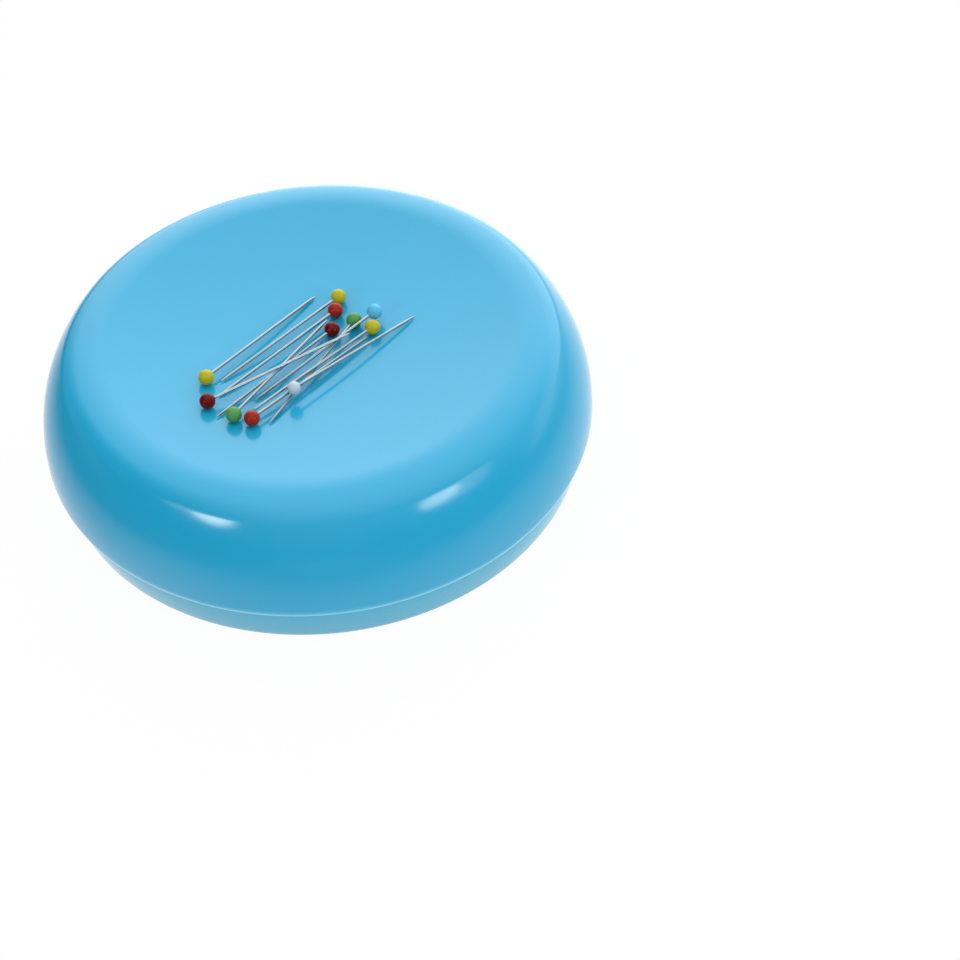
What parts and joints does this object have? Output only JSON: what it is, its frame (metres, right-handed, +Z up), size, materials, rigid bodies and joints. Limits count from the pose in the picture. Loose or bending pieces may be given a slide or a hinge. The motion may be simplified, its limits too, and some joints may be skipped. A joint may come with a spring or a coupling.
{
  "type": "magnetic pin bowl",
  "caption": "Round magnetic dish for dressmaking pins: a glossy moulded shell over a ring magnet, on rubber feet, holding loose ball-headed pins.",
  "frame": {"origin": "on the surface that the feet stand on, under the middle of the bowl", "axes": "+Z up out of the dish; +Y away from the viewer in the picture, +X to the right"},
  "size_m": [0.115, 0.115, 0.0346],
  "materials": {
    "shell": "high gloss moulded",
    "base": "high gloss moulded",
    "ferrite": "sintered ferrite, matt dark grey",
    "plate": "zinc plated",
    "foam": "closed-cell foam",
    "screw": "zinc plated",
    "foot": "soft grey rubber",
    "pin_steel": "polished nickel-plated steel",
    "ball_yellow": "glossy",
    "ball_wine": "glossy, slightly translucent",
    "ball_green": "glossy",
    "ball_orange": "glossy",
    "ball_white": "glossy",
    "ball_pale_blue": "glossy"
  },
  "bodies": {
    "bowl": {"top_shell": "shell", "base_cover": "base", "ring_magnet": "ferrite", "back_plate": "plate", "foam_pad": "foam", "case_screws": "screw", "foot_front_right": "foot", "foot_back_right": "foot", "foot_back_left": "foot", "foot_front_left": "foot"},
    "pin_yellow_left": {"pin_yellow_left_shaft": "pin_steel", "pin_yellow_left_head": "ball_yellow"},
    "pin_yellow_back": {"pin_yellow_back_shaft": "pin_steel", "pin_yellow_back_head": "ball_yellow"},
    "pin_orange_back": {"pin_orange_back_shaft": "pin_steel", "pin_orange_back_head": "ball_orange"},
    "pin_wine_mid": {"pin_wine_mid_shaft": "pin_steel", "pin_wine_mid_head": "ball_wine"},
    "pin_green_back": {"pin_green_back_shaft": "pin_steel", "pin_green_back_head": "ball_green"},
    "pin_pale_blue": {"pin_pale_blue_shaft": "pin_steel", "pin_pale_blue_head": "ball_pale_blue"},
    "pin_green_front": {"pin_green_front_shaft": "pin_steel", "pin_green_front_head": "ball_green"},
    "pin_wine_left": {"pin_wine_left_shaft": "pin_steel", "pin_wine_left_head": "ball_wine"},
    "pin_orange_front": {"pin_orange_front_shaft": "pin_steel", "pin_orange_front_head": "ball_orange"},
    "pin_yellow_right": {"pin_yellow_right_shaft": "pin_steel", "pin_yellow_right_head": "ball_yellow"},
    "pin_white": {"pin_white_shaft": "pin_steel", "pin_white_head": "ball_white"}
  },
  "joints": [
    {"name": "lift_yellow_left", "type": "slide", "parent": "bowl", "child": "pin_yellow_left", "axis": [0, 0, 1], "range_m": [0, 0.015]},
    {"name": "lift_yellow_back", "type": "slide", "parent": "bowl", "child": "pin_yellow_back", "axis": [0, 0, 1], "range_m": [0, 0.015]},
    {"name": "lift_orange_back", "type": "slide", "parent": "bowl", "child": "pin_orange_back", "axis": [0, 0, 1], "range_m": [0, 0.015]},
    {"name": "lift_green_back", "type": "slide", "parent": "bowl", "child": "pin_green_back", "axis": [0, 0, 1], "range_m": [0, 0.015]},
    {"name": "lift_pale_blue", "type": "slide", "parent": "pin_green_back", "child": "pin_pale_blue", "axis": [0, 0, 1], "range_m": [0, 0.015]},
    {"name": "lift_wine_mid", "type": "slide", "parent": "pin_pale_blue", "child": "pin_wine_mid", "axis": [0, 0, 1], "range_m": [0, 0.015]},
    {"name": "lift_green_front", "type": "slide", "parent": "pin_wine_mid", "child": "pin_green_front", "axis": [0, 0, 1], "range_m": [0, 0.015]},
    {"name": "lift_wine_left", "type": "slide", "parent": "pin_green_front", "child": "pin_wine_left", "axis": [0, 0, 1], "range_m": [0, 0.015]},
    {"name": "lift_orange_front", "type": "slide", "parent": "pin_green_back", "child": "pin_orange_front", "axis": [0, 0, 1], "range_m": [0, 0.015]},
    {"name": "lift_yellow_right", "type": "slide", "parent": "pin_orange_front", "child": "pin_yellow_right", "axis": [0, 0, 1], "range_m": [0, 0.015]},
    {"name": "lift_white", "type": "slide", "parent": "pin_yellow_right", "child": "pin_white", "axis": [0, 0, 1], "range_m": [0, 0.015]}
  ]
}
